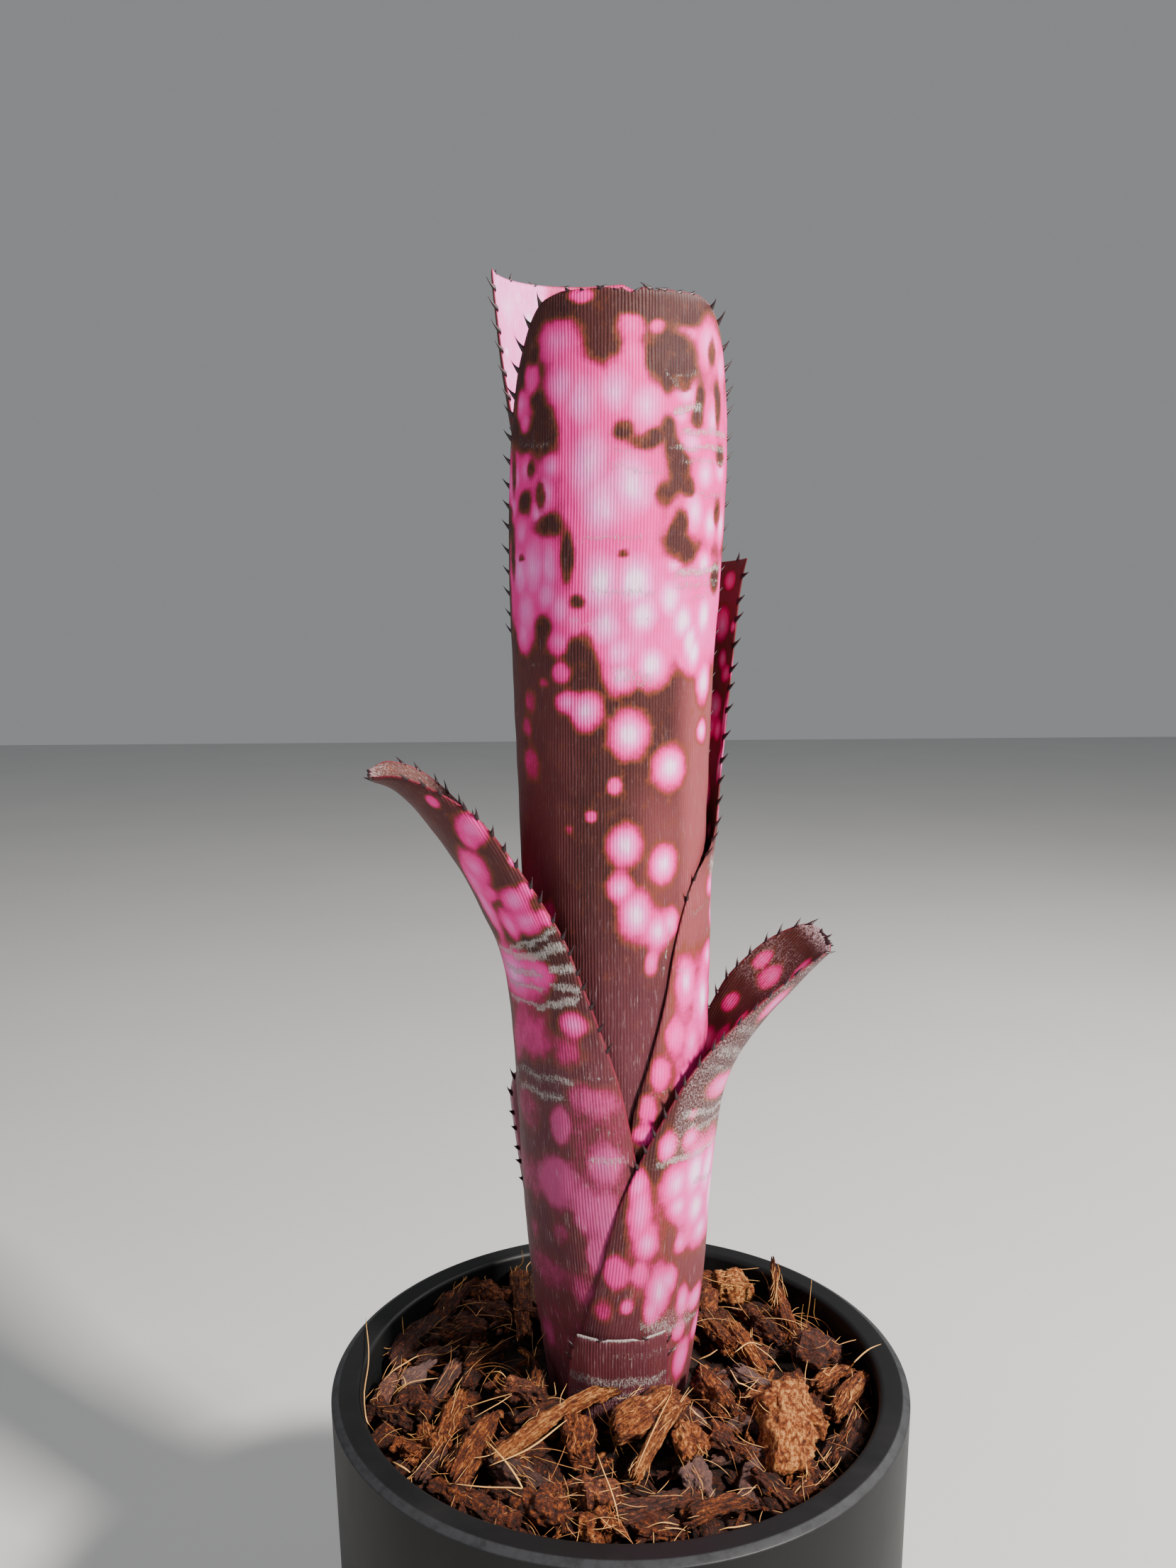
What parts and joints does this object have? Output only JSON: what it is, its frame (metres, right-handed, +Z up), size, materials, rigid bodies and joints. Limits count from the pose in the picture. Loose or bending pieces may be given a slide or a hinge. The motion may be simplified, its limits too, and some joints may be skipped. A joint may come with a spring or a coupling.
{
  "type": "potted billbergia",
  "caption": "Tall tubular bromeliad with pink-spotted, spine-edged leaves, rooted in coconut-husk chips in a round black pot.",
  "frame": {"origin": "middle of the pot's underside, on the surface that it stands on", "axes": "+Z up along the plant, -Y towards the camera of the picture, +X to its right"},
  "size_m": [0.12, 0.12, 0.3275],
  "materials": {
    "pot_black": "matte",
    "coconut_husk": "matte",
    "stem": "matte",
    "leaf": "satin"
  },
  "bodies": {
    "root": {"pot": "pot_black", "husk_substrate": "coconut_husk", "stem_and_roots": "stem", "leaf_back_tall": "leaf", "leaf_front_tall": "leaf", "leaf_right_tall": "leaf", "leaf_left_lower": "leaf", "leaf_right_lower": "leaf", "leaf_rear_small": "leaf", "leaf_base_stub": "leaf"}
  },
  "joints": []
}
